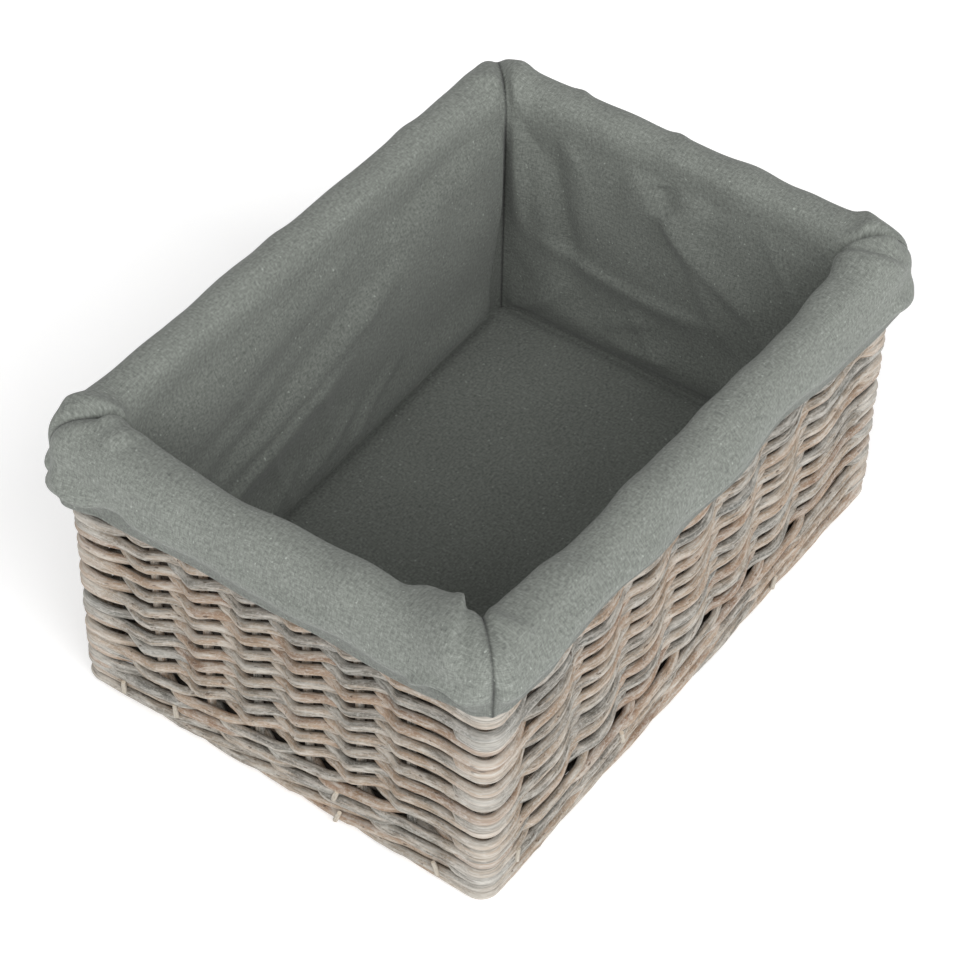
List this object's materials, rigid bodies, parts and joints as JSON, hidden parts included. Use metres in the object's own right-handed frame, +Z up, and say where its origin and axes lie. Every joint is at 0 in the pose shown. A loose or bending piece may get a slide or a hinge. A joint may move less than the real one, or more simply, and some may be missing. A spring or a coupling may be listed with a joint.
{
  "type": "wicker log basket",
  "caption": "Rectangular woven willow storage basket with a lift-out cloth liner whose cuff folds over the rim.",
  "frame": {"origin": "middle of the basket on the plane it rests on", "axes": "+X along the basket's length, +Y across its width, +Z up"},
  "size_m": [0.459, 0.331, 0.22],
  "materials": {
    "willow_weave": "limed grey wash, matt",
    "willow_upright": "limed grey wash, matt",
    "liner_cloth": "plain woven linen-look cotton, matt"
  },
  "bodies": {
    "basket": {"base_sticks": "willow_upright", "base_weavers": "willow_weave", "corner_post_back_left": "willow_upright", "corner_post_back_right": "willow_upright", "corner_post_front_left": "willow_upright", "corner_post_front_right": "willow_upright", "corner_weave_back_left": "willow_weave", "corner_weave_back_right": "willow_weave", "corner_weave_front_left": "willow_weave", "corner_weave_front_right": "willow_weave", "foot_border_back": "willow_weave", "foot_border_front": "willow_weave", "foot_border_left": "willow_weave", "foot_border_right": "willow_weave", "lower_wale_back": "willow_weave", "lower_wale_front": "willow_weave", "lower_wale_left": "willow_weave", "lower_wale_right": "willow_weave", "side_weave_back": "willow_weave", "side_weave_front": "willow_weave", "side_weave_left": "willow_weave", "side_weave_right": "willow_weave", "stakes_back": "willow_upright", "stakes_front": "willow_upright", "stakes_left": "willow_upright", "stakes_right": "willow_upright", "top_border_back": "willow_weave", "top_border_corner_back_left": "willow_weave", "top_border_corner_back_right": "willow_weave", "top_border_corner_front_left": "willow_weave", "top_border_corner_front_right": "willow_weave", "top_border_front": "willow_weave", "top_border_left": "willow_weave", "top_border_right": "willow_weave", "upper_wale_back": "willow_weave", "upper_wale_front": "willow_weave", "upper_wale_left": "willow_weave", "upper_wale_right": "willow_weave"},
    "liner": {"liner_cuff_back": "liner_cloth", "liner_cuff_corner_back_left": "liner_cloth", "liner_cuff_corner_back_right": "liner_cloth", "liner_cuff_corner_front_left": "liner_cloth", "liner_cuff_corner_front_right": "liner_cloth", "liner_cuff_front": "liner_cloth", "liner_cuff_left": "liner_cloth", "liner_cuff_right": "liner_cloth", "liner_floor": "liner_cloth", "liner_rim_back": "liner_cloth", "liner_rim_front": "liner_cloth", "liner_rim_left": "liner_cloth", "liner_rim_right": "liner_cloth", "liner_wall_back": "liner_cloth", "liner_wall_front": "liner_cloth", "liner_wall_left": "liner_cloth", "liner_wall_right": "liner_cloth"}
  },
  "joints": [
    {"name": "liner_lift", "type": "slide", "parent": "basket", "child": "liner", "axis": [0, 0, 1], "range_m": [0, 0.21]}
  ]
}
